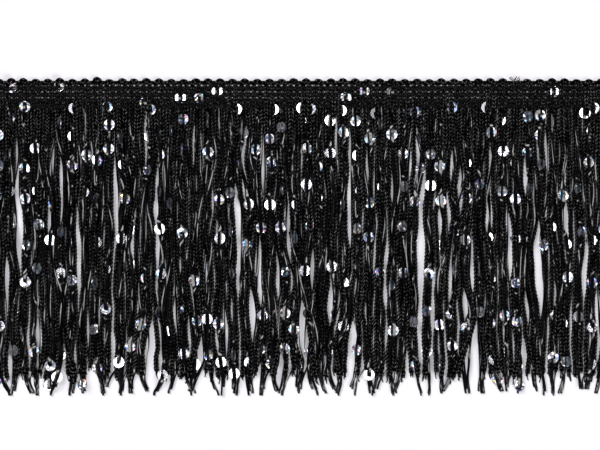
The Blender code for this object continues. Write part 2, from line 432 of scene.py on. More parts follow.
# %% [markdown]
# ## Heights of the cords
#
# A cord that crosses over a tucked sequin rises by the sequin's edge and comes down again.
# This is what cuts those sequins off in a straight line. Elsewhere a cord lies on the table,
# with a little slack.

# %% Height of a cord's middle
TUCK_LENGTH, TUCK_CLEAR = 5.5, 0.25
RISE_START, RISE_RAMP, FALL_END, FALL_RAMP = 0.1, 0.5, 4.0, 0.8
SLACK, SLACK_WAVE, SLACK_START = 0.14, 15.0, 20.0


def cord_heights(k, xs, ys):
    """Height of the middle of cord k at each of its stations."""
    slack = SLACK * (1.0 + np.sin(ys / SLACK_WAVE + start_of_wave(k, 14)))
    heights = CORD_THICK / 2 + slack * np.clip(-(ys - HEADER_BOTTOM) / SLACK_START, 0.0, 1.0)
    for at in tucked:
        near = np.abs(ys - at["y"]) < 3.0 * TUCK_LENGTH
        if not near.any():
            continue
        over = at["side"] * (xs - at["x"] + at["bury"])
        share = np.clip((over - RISE_START) / RISE_RAMP, 0.0, 1.0)
        share = share * np.clip((FALL_END - over) / FALL_RAMP, 0.0, 1.0)
        rise = (at["z"] - TUCK_CLEAR) * np.exp(-((ys - at["y"]) / TUCK_LENGTH) ** 2)
        heights = heights + np.where(near, share * rise, 0.0)
    return heights


first_heights = cord_heights(0, np.full(2, cord_rest[0]), np.array([0.0, CORD_END]))
print("first cord's middle at the header and at its end, mm:", first_heights.round(2))

# %% [markdown]
# ## A tube rolled from a grid
#
# A cord, a filament and a stitch are all tubes along a path. Blender's grid operator makes
# the flat net of faces, and each of its points is then moved to its place round the path, as
# a sheet is rolled into a tube. The meeting edges are merged afterwards. Two values stay on
# the points for the material: how far along the yarn a point is, and how far round it.

# %% Directions along a path
def path_frames(path):
    """Forward, sideways and upward directions at each point of a path."""
    forward = np.gradient(path, axis=0)
    forward /= np.linalg.norm(forward, axis=1)[:, None]
    across = np.cross(forward, (0.0, 0.0, 1.0))
    across /= np.linalg.norm(across, axis=1)[:, None]
    return forward, across, np.cross(across, forward)


straight_path = np.array([(0.0, 0.0, 0.0), (0.0, 1.0, 0.0)])
_, across, up = path_frames(straight_path)
print("across and up of a path along y:", across[0].tolist(), up[0].tolist())

# %% Roll a tube round a path
TABLE_CLEAR = 0.02
CROWN_FOLD = 0.05


def column(value, stations):
    """One value, or one for each station, as a column that spreads over the ring."""
    return np.broadcast_to(np.asarray(value, float), stations)[:, None]


def ring_points(path, width, thick, sides, ridge, skew, turn, skin):
    """Points round every station of a path, in millimetres, and how far round it they are."""
    forward, across, up = path_frames(path)
    stations = len(path)
    angle = 2.0 * np.pi * np.arange(sides + 1) / sides
    fold = 1.0 - np.abs(angle / np.pi - 1.0)
    lobes = np.sqrt(np.clip(np.sin(np.pi * fold), 0.0, 1.0))
    ridge = column(ridge, stations)
    thicker = np.where(np.arange(stations) % 2 == 0, 1.0, -1.0)[:, None]
    relief = (1.0 + ridge * thicker * lobes) * (1.0 - ridge * (fold < CROWN_FOLD))
    u = column(width, stations) / 2 * np.sin(angle) * relief
    v = column(thick, stations) / 2 * np.cos(angle) * relief
    if skin is not None:
        v = np.where(fold > 0.5, thick / 2 - skin, v)
    turn = column(turn, stations)
    side = u * np.cos(turn) + v * np.sin(turn)
    rise = v * np.cos(turn) - u * np.sin(turn)
    points = path[:, None] + side[..., None] * across[:, None] + rise[..., None] * up[:, None]
    drawn = 0.5 - np.abs(fold - 0.5)
    points = points + column(skew, stations)[..., None] * drawn[:, None] * forward[:, None]
    points[..., 2] = np.maximum(points[..., 2], TABLE_CLEAR)
    return points, fold


def roll_tube(work, path, width, thick, sides, ridge=0.0, skew=0.0, turn=0.0, skin=None,
              stitch=1.2, along=None):
    """Tube round a path in millimetres, with knit ridges across it and a turn about it.

    A skin turns the tube into a curled film of that thickness. The stitches are counted by
    their length along the path where along doesn't give the count at each station.
    """
    path = np.asarray(path, float)
    points, fold = ring_points(path, width, thick, sides, ridge, skew, turn, skin)
    first = len(work.verts)
    bmesh.ops.create_grid(work, x_segments=sides, y_segments=len(path) - 1, size=1.0)
    work.verts.ensure_lookup_table()
    along_layer = work.verts.layers.float["along"]
    round_layer = work.verts.layers.float["round"]
    if along is None:
        steps = np.linalg.norm(np.diff(path, axis=0), axis=1)
        along = np.concatenate(([0.0], np.cumsum(steps))) / stitch
    along = np.repeat(along, sides + 1).tolist()
    folds = np.tile(fold, len(path)).tolist()
    places = (points * MM).reshape(-1, 3).tolist()
    for vert, place, far, bend in zip(work.verts[first:], places, along, folds):
        vert.co = place
        vert[along_layer] = far
        vert[round_layer] = bend


trial, trial_folds = ring_points(straight_path, 1.0, 1.0, 4, 0.0, 0.0, 0.0, None)
print("points of a trial tube:", trial.shape[:2], "round it:", trial_folds.tolist())

# %% Start and finish a piece
SEAM_REACH = 0.000001


def new_work():
    """Empty bmesh that keeps how far along and how far round its yarn a point is."""
    work = bmesh.new()
    work.verts.layers.float.new("along")
    work.verts.layers.float.new("round")
    return work


def make_object(work, name, material):
    """Object made from a bmesh, with its material, in the scene."""
    mesh = bpy.data.meshes.new(name)
    work.to_mesh(mesh)
    work.free()
    mesh.materials.append(material)
    made = bpy.data.objects.new(name, mesh)
    bpy.context.scene.collection.objects.link(made)
    print(name, "faces:", len(mesh.polygons))
    return made


def finish_piece(work, name, material, smooth=True, sharp_rims=False):
    """Merges the seams, closes the ends, turns the faces outwards and makes the object."""
    bmesh.ops.remove_doubles(work, verts=work.verts, dist=SEAM_REACH)
    rims = [line for line in work.edges if line.is_boundary]
    bmesh.ops.holes_fill(work, edges=rims, sides=0)
    bmesh.ops.recalc_face_normals(work, faces=work.faces)
    for face in work.faces:
        face.smooth = smooth
    if sharp_rims:
        round_layer = work.verts.layers.float["round"]
        for line in work.edges:
            line.smooth = not all(vert[round_layer] == 0.5 for vert in line.verts)
    piece = make_object(work, name, material)
    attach(piece, "root")
    return piece


print("pieces ride on: root")

# %% [markdown]
# ## Colours and shader nodes
#
# Colours are written as the sRGB hex values that a paint chart gives, and one function turns
# them to the linear values that the renderer works in. One more small function adds a shader
# node with its settings and its links, so that each material below reads as a list.

# %% Colour and node helpers
def linear(hex_colour):
    """Linear colour with alpha from an sRGB hex value."""
    parts = [int(hex_colour[i:i + 2], 16) / 255.0 for i in (1, 3, 5)]
    return (*[c / 12.92 if c <= 0.04045 else ((c + 0.055) / 1.055) ** 2.4 for c in parts], 1.0)


def add_node(tree, kind, settings=None, links=None):
    """Adds a shader node, sets its sockets and options, and links outputs into it."""
    node = tree.nodes.new("ShaderNode" + kind)
    options = {name: value for name, value in (settings or {}).items() if hasattr(node, str(name))}
    for name, value in options.items():
        setattr(node, name, value)
    sockets = {key: socket for key, socket in enumerate(node.inputs)}
    sockets.update({socket.name: socket for socket in reversed(node.inputs) if socket.enabled})
    for name, value in (settings or {}).items():
        if name not in options:
            sockets[name].default_value = value
    for name, source in (links or {}).items():
        tree.links.new(source, sockets[name])
    return node


def result(node):
    """First output of a node that is in use."""
    return next(socket for socket in node.outputs if socket.enabled)


def new_finish(name, settings):
    """Material with its Principled shader set; returns it with its node tree and shader."""
    material = bpy.data.materials.new(name)
    material.use_nodes = True
    shader = material.node_tree.nodes["Principled BSDF"]
    for socket, value in settings.items():
        shader.inputs[socket].default_value = value
    return material, material.node_tree, shader


print("mid grey in linear values:", round(linear("#808080")[0], 3))

# %% [markdown]
# ## Knitted black polyester
#
# The chainette is textured polyester yarn, dyed black and knitted into a narrow tube. The
# yarn is matt, but each stitch catches a little light on its crown, so the cord shows a fine
# herringbone. The stitches are real ridges in the mesh. The material paints that light as a
# paler colour on the crowns, a painted highlight kept to the upper side of the cord and out
# of the groove along its top. It is placed by the count of stitches along the cord and by how
# far round it they are, and broken up into fibres. A fibre is 0.02 mm thick and would never
# show, so the break-up is drawn at the size of the crimp in a bundle of them, just under a
# millimetre. In the header, where the cords are drawn tight between the chain rows, the
# painted highlight is made stronger. The gloss is left off, because the painted highlight
# already stands for it.

# %% Material of the yarns
YARN_CRIMP = 0.9
CREST_LIFT = 0.12
HEADER_SHEEN_Y, HEADER_SHEEN_REACH = -0.5, (3.3, 5.0)


# The second colour is a painted highlight on the stitch crowns, kept to the upper side of the cord
# and out of the groove along its top.
def knitted_polyester(name, dark, sheen_colour, roughness, header_sheen_gain=1.0):
    """Matt black yarn with a painted highlight on the crowns of its stitches, stronger in the
    header.
    """
    material, tree, shader = new_finish(name, {
        "Roughness": roughness, "IOR": 1.5, "Specular IOR Level": 0.0})
    along = add_node(tree, "Attribute", {"attribute_name": "along"}).outputs["Fac"]
    round_it = add_node(tree, "Attribute", {"attribute_name": "round"}).outputs["Fac"]
    turns = add_node(tree, "Math", {"operation": "MULTIPLY", 1: 2.0 * math.pi}, {0: along})
    wave = add_node(tree, "Math", {"operation": "SINE"}, {0: result(turns)})
    where = add_node(tree, "TexCoord").outputs["Object"]
    fibres = add_node(tree, "TexNoise", {
        "Scale": 1.0 / (YARN_CRIMP * MM), "Detail": 2.0, "Roughness": 0.7}, {"Vector": where})
    crown = add_node(tree, "MapRange", {"From Min": 0.2, "From Max": 0.95}, {
        "Value": result(wave)})
    sheen_past_groove = add_node(tree, "MapRange", {"From Min": 0.03, "From Max": 0.14}, {
        "Value": round_it})
    sheen_upper_side = add_node(tree, "MapRange", {
        "From Min": 0.3, "From Max": 0.46, "To Min": 1.0, "To Max": 0.0}, {"Value": round_it})
    bright = add_node(tree, "MapRange", {"From Min": 0.42, "From Max": 0.66}, {
        "Value": fibres.outputs["Fac"]})
    # Painted highlight made stronger in the header, between the chain rows.
    place = add_node(tree, "SeparateXYZ", links={"Vector": where})
    away = add_node(tree, "Math", {"operation": "SUBTRACT", 1: HEADER_SHEEN_Y * MM}, {
        0: place.outputs["Y"]})
    distance = add_node(tree, "Math", {"operation": "ABSOLUTE"}, {0: result(away)})
    near, far = HEADER_SHEEN_REACH
    header_sheen = add_node(tree, "MapRange", {
        "From Min": near * MM, "From Max": far * MM, "To Min": header_sheen_gain, "To Max": 1.0}, {
        "Value": result(distance)})
    sheen_amount = crown
    for part in (sheen_past_groove, sheen_upper_side, bright, header_sheen):
        sheen_amount = add_node(tree, "Math", {"operation": "MULTIPLY"}, {
            0: result(sheen_amount), 1: result(part)})
    shade = add_node(tree, "Mix", {
        "data_type": "RGBA", "A": linear(dark), "B": linear(sheen_colour)}, {"Factor": result(sheen_amount)})
    tree.links.new(result(shade), shader.inputs["Base Color"])
    bump = add_node(tree, "Bump", {"Strength": 0.6, "Distance": CREST_LIFT * MM}, {
        "Height": result(sheen_amount)})
    tree.links.new(result(bump), shader.inputs["Normal"])
    return material


# The second colour of each yarn is its painted highlight.
chainette_yarn = knitted_polyester(
    "black_textured_polyester_chainette", "#010101", "#7D7C7D", 0.7, header_sheen_gain=1.7)
ground_yarn = knitted_polyester("black_knitted_polyester_ground", "#151415", "#A6A4A6", 0.65)
stitch_yarn = knitted_polyester("black_twisted_polyester_stitching", "#0D0D0D", "#5A595A", 0.65)
print("yarn materials:", chainette_yarn.name, ground_yarn.name, stitch_yarn.name)

# %% [markdown]
# ## Chainette cords
#
# One cord goes up a leg, round the picot at the top of the header and down the next leg. It
# is cut a little unevenly, and near the end a few cords lean across their neighbours. Its
# stitches are 1.7 mm long, a little more or less in each leg, and rings of the tube stand half
# a stitch apart. Every other ring is thicker, and the middle of each ring is drawn forward,
# which gives the rows of V shapes. On the way down the V shapes point the other way, because
# the yarn runs the other way. The cut ends are closed flat.

# %% Route of one cord: up, round and down
STITCH = 1.7
RING = STITCH / 2
STITCH_UNEVEN = 0.07
CUT_LONGER, FEW_LONG = 2.5, 1.4
CORD_MARGIN = 1.2
WOBBLE, WOBBLE_WAVE, WOBBLE_LATEST = 0.16, 2.9, 9.0
CROSS_SHARE, CROSS_REACH, CROSS_LIFT = 0.2, 8.0, 1.6
CROSS_START, CROSS_END, CROSS_CLIMB = (92.0, 116.0), 138.0, (0.3, 1.3)
TURN_Y = 4.6
TURN_RADIUS = LEG / 2
TURN_REACH, TURN_UNEVEN, TURN_LEAN = TURN_RADIUS - 0.2, 0.3, 0.25
TURN_CLEAR = 0.1
ODD_PICOTS = {9: 0.9, 43: -0.9}
CAUGHT_NEAR, CAUGHT_LIFT = 3.5, 1.4


def leg_route(k):
    """Stations of one leg of cord, from its cut end up to the turn."""
    cut = CORD_END + CORD_RAGGED * swing(k, 1) - CUT_LONGER * part_value(k, 17) ** FEW_LONG
    ys = np.arange(cut, TURN_Y, RING * (1.0 + STITCH_UNEVEN * swing(k, 26)))
    free = np.clip(-(ys - HEADER_BOTTOM) / WAVER_START, 0.0, 1.0)
    start = start_of_wave(k, 15, WOBBLE_LATEST)
    wobble = free * WOBBLE * np.sin(ys / WOBBLE_WAVE + start)
    xs = read_rows(cord_rows, k, ys) + wobble
    zs = cord_heights(k, xs, ys)
    if part_value(k, 61) < CROSS_SHARE:
        first = pick_from(k, 63, *CROSS_START)
        lean = CROSS_REACH * swing(k, 62) * step_curve(-ys, first, CROSS_END)
        zs = zs + CROSS_LIFT * step_curve(np.abs(lean), *CROSS_CLIMB)
        xs = within_trim(xs + lean, CORD_MARGIN)
    return np.stack([xs, ys, zs], axis=1)


def cord_route(scallop):
    """Stations of the cord that makes one scallop, from cut end to cut end."""
    middle = yarn_rest[scallop]
    angle = np.arange(RING, math.pi * TURN_RADIUS, RING) / TURN_RADIUS
    reach = TURN_REACH + TURN_UNEVEN * swing(scallop, 23) + ODD_PICOTS.get(scallop, 0.0)
    lean = TURN_LEAN * swing(scallop, 24)
    over_disc = any(
        abs(x - middle) < CAUGHT_NEAR and y > PICOT_SEQUIN_Y for x, y, *_ in HEADER_SEQUINS)
    arc = np.stack([
        middle - TURN_RADIUS * np.cos(angle) + lean * np.sin(angle),
        TURN_Y + reach * np.sin(angle),
        CORD_THICK / 2 + TURN_CLEAR + (CAUGHT_LIFT if over_disc else 0.0) * np.sin(angle),
    ], axis=1)
    return np.concatenate([leg_route(2 * scallop), arc, leg_route(2 * scallop + 1)[::-1]])


routes = [cord_route(scallop) for scallop in range(SCALLOPS)]
print("stations of the first cord:", len(routes[0]))

# %% [markdown]
# ## Rolling the cords
#
# The cords are rolled in four pieces of thirteen scallops, so that no piece grows too large.
# In the header the stitching draws them narrower, and at the turn the V shapes die away. The
# last rings before a cut stand straight. The count of stitches starts at a quarter, so that
# the painted highlight of the crowns falls on the thick rings.

# %% Roll the cords in four pieces
PIECES = 4
CORDS_A_PIECE = SCALLOPS // PIECES
CORD_SIDES = 8
CORD_RIDGE, PICOT_RIDGE_SHARE = 0.14, 0.3
CORD_CHEVRON, PICOT_CHEVRON = 4.0, 0.5
CHEVRON_FADE = 2.5
SQUARE_RINGS = 3
FIRST_CROWN = 0.25
HEADER_LEG_WIDTH = 1.95
for part in range(PIECES):
    work = new_work()
    for scallop in range(part * CORDS_A_PIECE, (part + 1) * CORDS_A_PIECE):
        route = routes[scallop]
        stitched = (route[:, 1] > HEADER_BOTTOM) & (route[:, 1] < TURN_Y)
        width = np.where(stitched, HEADER_LEG_WIDTH, CORD_WIDTH)
        straight = 1.0 - step_curve(route[:, 1], TURN_Y - CHEVRON_FADE, TURN_Y)
        rings = np.arange(len(route))
        square = np.clip(np.minimum(rings, rings[::-1]) / SQUARE_RINGS, 0.0, 1.0)
        skew = -(PICOT_CHEVRON + (CORD_CHEVRON - PICOT_CHEVRON) * straight) * square
        ridge = CORD_RIDGE * (PICOT_RIDGE_SHARE + (1.0 - PICOT_RIDGE_SHARE) * straight)
        roll_tube(work, route, width, CORD_THICK, CORD_SIDES, ridge=ridge, skew=skew,
                  along=FIRST_CROWN + rings / 2)
    cords = finish_piece(work, f"chainette_cords_{part + 1}", chainette_yarn)
    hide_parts("chainette_fringe")

# %% [markdown]
# ## Picot shoulders
#
# Between two scallops a thinner cord makes a low loop, so that the edge has a flat shoulder
# beside each dome. It is the same tube on a flattened half circle.

# %% Low loops between the scallops
SHOULDER_Y, SHOULDER_HEIGHT = 3.9, 0.75
SHOULDER_SPREAD = 1.1
SHOULDER_STATIONS, SHOULDER_SIDES = 9, 6
SHOULDER_WIDTH, SHOULDER_THICK = 1.3, 1.2
SHOULDER_RIDGE, SHOULDER_CHEVRON = 0.08, -0.4
angle = np.linspace(0.0, math.pi, SHOULDER_STATIONS)
work = new_work()
for scallop in range(1, SCALLOPS):
    arc = np.stack([
        2 * scallop * LEG - LENGTH / 2 - SHOULDER_SPREAD * TURN_RADIUS * np.cos(angle),
        SHOULDER_Y + TURN_RADIUS * np.sin(angle) ** 0.5,
        np.full(len(angle), SHOULDER_HEIGHT),
    ], axis=1)
    roll_tube(work, arc, SHOULDER_WIDTH, SHOULDER_THICK, SHOULDER_SIDES,
              ridge=SHOULDER_RIDGE, skew=SHOULDER_CHEVRON, stitch=STITCH)
shoulders = finish_piece(work, "picot_shoulders", chainette_yarn)

# %% [markdown]
# ## Header ground
#
# Fine threads fill the header between the legs of cord and leave small holes: an open row
# under the picots, and nearly closed rows between the chain stitches. The ground is a thin
# sheet. Its net of cells comes from the grid operator, and the lines of the net are moved so
# that a narrow cell falls on every hole.

# %% Net of cells for the ground
GROUND_TOP = 5.9
GROUND_LOW, GROUND_THICK = 0.12, 0.4
HOLE_WIDTH = 0.9
HOLE_ROWS = ((4.1, 3.4), (1.05, 0.45), (-1.75, -2.25))

ground_ys = sorted({GROUND_TOP, HEADER_BOTTOM, *[y for pair in HOLE_ROWS for y in pair]})
ground_xs = [-LENGTH / 2]
for gap in range(1, CORDS):
    middle = gap * LEG - LENGTH / 2
    ground_xs += [middle - HOLE_WIDTH / 2, middle + HOLE_WIDTH / 2]
ground_xs.append(LENGTH / 2)
work = new_work()
bmesh.ops.create_grid(
    work, x_segments=len(ground_xs) - 1, y_segments=len(ground_ys) - 1, size=1.0)
work.verts.ensure_lookup_table()
for number, vert in enumerate(work.verts):
    across, line = number % len(ground_xs), number // len(ground_xs)
    vert.co = Vector((ground_xs[across], ground_ys[line], GROUND_LOW)) * MM
print("cells in the net:", len(work.faces))

# %% [markdown]
# ## Holes of the ground
#
# Each hole's cell is drawn in to the size of the hole, so that no two are alike, and deleted.
# The open row closes up towards the ends of the trim, as it does in the photo. The solidify
# operator then gives the sheet its thickness.

# %% Open the holes and thicken the sheet
OPEN_ROW_Y = 2.0
OPEN_HOLE, CLOSED_HOLE, LEAST_HOLE = (0.6, 1.05), (0.35, 0.9), 0.08
OPEN_MIDDLE_X, CLOSING, CLOSING_REACH = -18.0, 0.55, (70.0, 110.0)
ON_GAP = 0.05
holes = []
for face in work.faces:
    centre = face.calc_center_median() / MM
    in_row = any(low < centre.y < high for high, low in HOLE_ROWS)
    gap = round((centre.x + LENGTH / 2) / LEG)
    if in_row and abs((centre.x + LENGTH / 2) / LEG - gap) < ON_GAP:
        holes.append(face)
        drawn_in = pick_from(gap, 72, *CLOSED_HOLE)
        if centre.y > OPEN_ROW_Y:
            fade = 1.0 - CLOSING * step_curve(abs(centre.x - OPEN_MIDDLE_X), *CLOSING_REACH)
            drawn_in = fade * pick_from(gap, 71, *OPEN_HOLE)
        for vert in face.verts:
            vert.co = (centre + (vert.co / MM - centre) * max(LEAST_HOLE, drawn_in)) * MM
bmesh.ops.delete(work, geom=holes, context="FACES")
bmesh.ops.solidify(work, geom=work.faces[:], thickness=-GROUND_THICK * MM)
bmesh.ops.recalc_face_normals(work, faces=work.faces)
ground = make_object(work, "header_ground", ground_yarn)
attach(ground, "root")
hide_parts("header_tape")
print("holes in the header:", len(holes))

# %% [markdown]
# ## Chain-stitch rows
#
# Four rows of chain stitch bind the legs of cord. A chain is a line of loops, each drawn
# through the one before, so a loop is a narrow ring that starts low under the last loop and
# ends high over the next. Each loop spans one leg of cord. The thread has a weaker painted
# highlight than the cords, whose painted highlight is stronger in the header, so the rows show
# as dark lines between lighter ones. Beside a sequin that is caught in the header, the rows are
# pushed apart and lifted.

# %% Loops of the four chain rows
LOOP_STEPS, LOOP_SIDES = 12, 4
LOOP_THREAD, LOOP_THREAD_THICK, THREAD_PLY = 0.62, 0.5, 0.9
LOOP_LENGTH, LOOP_WIDTH, LOOP_TAPER = 3.9, 1.15, 0.25
LOOP_HEIGHT, LOOP_SAG, LOOP_TILT = 2.0, 0.5, 0.28
LOOP_UNEVEN, LOOP_STRAY, LOOP_REACH = 0.1, 0.12, 1.9
LOOP_MARGIN = 0.4
CHAIN_SPREAD, CHAIN_LIFT, CHAIN_BESIDE = 0.95, 0.7, (2.3, 4.6)
SEQUIN_TO_ROW = 2.4
t = 2.0 * np.pi * np.arange(LOOP_STEPS + 1) / LOOP_STEPS
nose = 0.5 * LOOP_LENGTH * np.cos(t)
spread = 0.5 * LOOP_WIDTH * np.sin(t) * (1.0 - LOOP_TAPER * np.cos(t))
work = new_work()
for row_number, row in enumerate(CHAIN_ROWS):
    for k in range(CORDS):
        token = row_number * CORDS + k
        along = nose + LOOP_UNEVEN * swing(token, 21)
        xs = within_trim(cord_rest[k] + np.clip(along, -LOOP_REACH, LOOP_REACH), LOOP_MARGIN)
        ys = row + spread + LOOP_STRAY * swing(token, 22)
        zs = LOOP_HEIGHT - LOOP_SAG * (2.0 * nose / LOOP_LENGTH) ** 2 + LOOP_TILT * np.cos(t)
        for x, y, *_ in HEADER_SEQUINS:
            if abs(row - y) < SEQUIN_TO_ROW and y < PICOT_SEQUIN_Y:
                beside = 1.0 - step_curve(np.abs(xs - x), *CHAIN_BESIDE)
                ys = ys + math.copysign(CHAIN_SPREAD, row - y) * beside
                zs = zs + CHAIN_LIFT * beside
        path = np.stack([xs, ys, zs], axis=1)
        roll_tube(work, path, LOOP_THREAD, LOOP_THREAD_THICK, LOOP_SIDES, stitch=THREAD_PLY)
chains = finish_piece(work, "chain_stitch_rows", stitch_yarn)

# %% [markdown]
# ## Black film
#
# The filaments are slit from polyester film, dyed black. Film is smooth and flat, so it shows
# long grey reflections that come and go as it twists. It is a plain glossy plastic, and a
# shallow bump stands for the crinkles that it keeps from being wound.

# %% Material of the film filaments
CRINKLE = 5.0
film, tree, shader = new_finish("black_slit_polyester_film", {
    "Base Color": linear("#030304"), "IOR": 1.57, "Roughness": 0.16})
where = add_node(tree, "TexCoord").outputs["Object"]
crinkles = add_node(tree, "TexNoise", {"Scale": 1.0 / (CRINKLE * MM), "Detail": 2.0}, {
    "Vector": where})
crinkled = add_node(tree, "Bump", {"Strength": 0.5, "Distance": 0.5 * MM}, {
    "Height": crinkles.outputs["Fac"]})
tree.links.new(result(crinkled), shader.inputs["Normal"])
print("film material:", film.name)

# %% [markdown]
# ## What a filament lies on
#
# A filament lies on whatever is under it: on the crown of a cord, down between two cords, or
# on the table past the cut ends. Film is too stiff to follow every dip, so the height under
# it is evened out over thirteen stations, which are a millimetre apart.

# %% Height of the surface under a filament
TABLE_REST, PAST_CUT = 0.3, 1.0
CROWN_REACH, CROWN_FLAT, CROWN_CLEAR = 1.6, 0.25, 0.12
EVENED = 13


def resting_height(xs, ys):
    """Height of the top of the cords, or of the gap between them, under a filament."""
    heights = np.full(len(ys), TABLE_REST)
    for k in range(CORDS):
        near = np.interp(-ys, -row_heights, cord_rows[:, k])
        if np.abs(near - xs).min() > CROWN_REACH:
            continue
        away = np.clip(np.abs(near - xs) - CROWN_FLAT, 0.0, None)
        rounding = CORD_THICK / 2 * np.sqrt(np.clip(1.0 - away ** 2, 0.0, 1.0))
        crown = cord_heights(k, near, ys) + rounding + CROWN_CLEAR
        on_cord = (away < 1.0) & (ys > CORD_END + PAST_CUT)
        heights = np.where(on_cord, np.maximum(heights, crown), heights)
    padded = np.pad(heights, EVENED // 2, mode="edge")
    return np.convolve(padded, np.ones(EVENED) / EVENED, mode="valid")


on_first = resting_height(np.full(2, cord_rest[0]), -np.arange(2.0))
print("height on the first cord, mm:", on_first.round(2))

# %% [markdown]
# ## How a filament lies
#
# Film twists slowly on its way down, and only its free end leans out or hooks. Where it turns
# up on its edge it is lifted, so that it stays clear of what is under it. A filament is the
# rolled tube with a skin: a curled strip of film that is closed all round.

# %% Stations, free end, twist and roll of a filament
FILM_WIDTH, FILM_CURL, FILM_SKIN, FILM_SIDES = 1.3, 0.46, 0.09, 4
FILM_TOP_Y = -5.9
FILM_STEP = 1.0
FILM_MARGIN = 0.5
TWIST, TWIST_WAVE = 1.15, 17.0
FLUTTER, FLUTTER_WAVE = 0.35, 6.1
STEADIER_TIP, TIP_TURN = 0.65, (-CORD_END - 4.0, -CORD_END + 5.0)
FILM_LIFT, FILM_CLEAR = 0.35, 0.25
TIP_START, TIP_LENGTH = CORD_END + 8.0, 18.0
TIP_LEAN, TIP_HOOK = 3.0, 2.4


def film_stations(token):
    """Stations of one filament, from under the last chain row down to its own free end."""
    return np.arange(FILM_TOP_Y, YARN_END - YARN_RAGGED * swing(token, 4), -FILM_STEP)


def loose_tip(xs, ys, token):
    """Sideways lean of the free end, with a hook on some, kept within the length of the trim."""
    past = np.clip((TIP_START - ys) / TIP_LENGTH, 0.0, 1.0)
    leaning = xs + past ** 2 * TIP_LEAN * swing(token, 31) + past ** 4 * TIP_HOOK * swing(token, 32)
    return within_trim(leaning, FILM_MARGIN)


def film_turn(ys, token):
    """Twist of a filament along its length, quicker at the free end."""
    slow = TWIST * np.sin(ys / TWIST_WAVE + start_of_wave(token, 33))
    quick = FLUTTER * np.sin(ys / FLUTTER_WAVE + start_of_wave(token, 34)) * part_value(token, 35)
    at_tip = step_curve(-ys, *TIP_TURN)
    return slow * (1.0 - STEADIER_TIP * at_tip) + quick * (1.0 + at_tip)


def film_width(ys, token, narrow=0.75, wide=1.1):
    """Width of one filament, the same at all its stations."""
    return np.full(len(ys), FILM_WIDTH * pick_from(token, 36, narrow, wide))


def film_height(xs, ys, turn):
    """Height of a filament's middle where nothing else carries it."""
    return resting_height(xs, ys) + FILM_LIFT * np.abs(np.sin(turn))


def roll_film(work, xs, ys, zs, turn, width):
    """Rolls one filament, held clear of the table where it stands on edge."""
    zs = np.maximum(zs, FILM_CLEAR + width / 2 * np.abs(np.sin(turn)))
    path = np.stack([xs, ys, zs], axis=1)
    roll_tube(work, path, width, FILM_CURL, FILM_SIDES, turn=turn, skin=FILM_SKIN)


print("stations of the first filament:", len(film_stations(0)))

# %% [markdown]
# ## Sequins on the tips
#
# A few sequins have slid down to the free tips, level with the cut ends of the cords or past
# them. Each one is threaded on the tip that hangs nearest to its place in this chart. It lies
# on a cut end or, further down, on the table.

# %% Sequins on the tips: x, y, height, roll, shimmer
TIP_SEQUINS = (
    (-140.1, -134.2, 0.95, 12.0, 0.9), (-120.3, -137.0, 0.7, 5.0, 0.0),
    (-111.4, -133.0, 2.3, 6.0, 0.0), (-104.1, -136.5, 1.9, 40.0, 0.9),
    (-64.4, -132.2, 2.3, -5.0, 0.1), (-31.0, -131.4, 2.3, 4.0, 0.0),
    (33.4, -132.0, 2.3, -6.0, 0.0), (93.5, -134.2, 0.9, -10.0, 0.9),
    (101.5, -137.2, 1.3, 20.0, 0.8),
)
TIP_TOKENS = 980
for number, (x, y, height, roll, shimmer) in enumerate(TIP_SEQUINS):
    tips = np.array([loose_tip(read_rows(yarn_rows, k, y), y, k) for k in range(SCALLOPS)])
    k = int(np.argmin(np.abs(tips - x)))
    chart_sequin(TIP_TOKENS + number, tips[k], y, shimmer, z=height, roll=math.radians(roll),
                 pitch=0.0, yarn=k)
print("sequins on the tips:", len(TIP_SEQUINS), "and in all:", len(sequins))

# %% [markdown]
# ## Filaments that carry the sequins
#
# One filament of each scallop is threaded with sequins and follows the solid of the sequin
# yarn. It passes over the face of a sequin, or comes up or goes down through its hole. There
# it is spread flat by the disc, turns with it and looks like a dark bar across it.

# %% Threaded filaments
STRIP_WIDTH, STRIP_GAP, STRIP_TILT = 2.1, 0.5, 0.3
UNDER_DISC, LEAST_FACE = -0.25, 0.2
NEAR_DISC, PAST_DISC = SEQUIN_RADIUS + 0.1, SEQUIN_RADIUS + 4.5


def sequins_on(k):
    """Sequins that are threaded on yarn k."""
    return [at for at in sequins if at["yarn"] == k]


work = new_work()
for k in range(SCALLOPS):
    ys = film_stations(k)
    xs = loose_tip(read_rows(yarn_rows, k, ys), ys, k)
    turn = film_turn(ys, k)
    zs = film_height(xs, ys, turn)
    width = film_width(ys, k)
    for at in sequins_on(k):
        over = 1.0 - step_curve(np.abs(ys - at["y"]), NEAR_DISC, PAST_DISC)
        slope = math.sin(at["pitch"]) * np.clip(ys - at["y"], -SEQUIN_RADIUS, SEQUIN_RADIUS)
        hidden = {0: ys > FILM_TOP_Y, 1: ys > at["y"], 2: ys < at["y"]}[at["thread"]]
        face = at["z"] + slope + np.where(hidden, UNDER_DISC, STRIP_GAP)
        width = width + (STRIP_WIDTH - width) * over
        zs = zs * (1.0 - over) + np.maximum(face, LEAST_FACE) * over
        turn = turn * (1.0 - over) + over * (at["roll"] + STRIP_TILT * at["side"])
    roll_film(work, xs, ys, zs, turn, width)
print("filaments with sequins:", SCALLOPS)

# %% [markdown]
# ## Film over the stitched-in sequins
#
# A sequin at the foot of the header or in it shows only a short length of its yarn, which
# arches over the disc and goes back under the stitches at both ends.

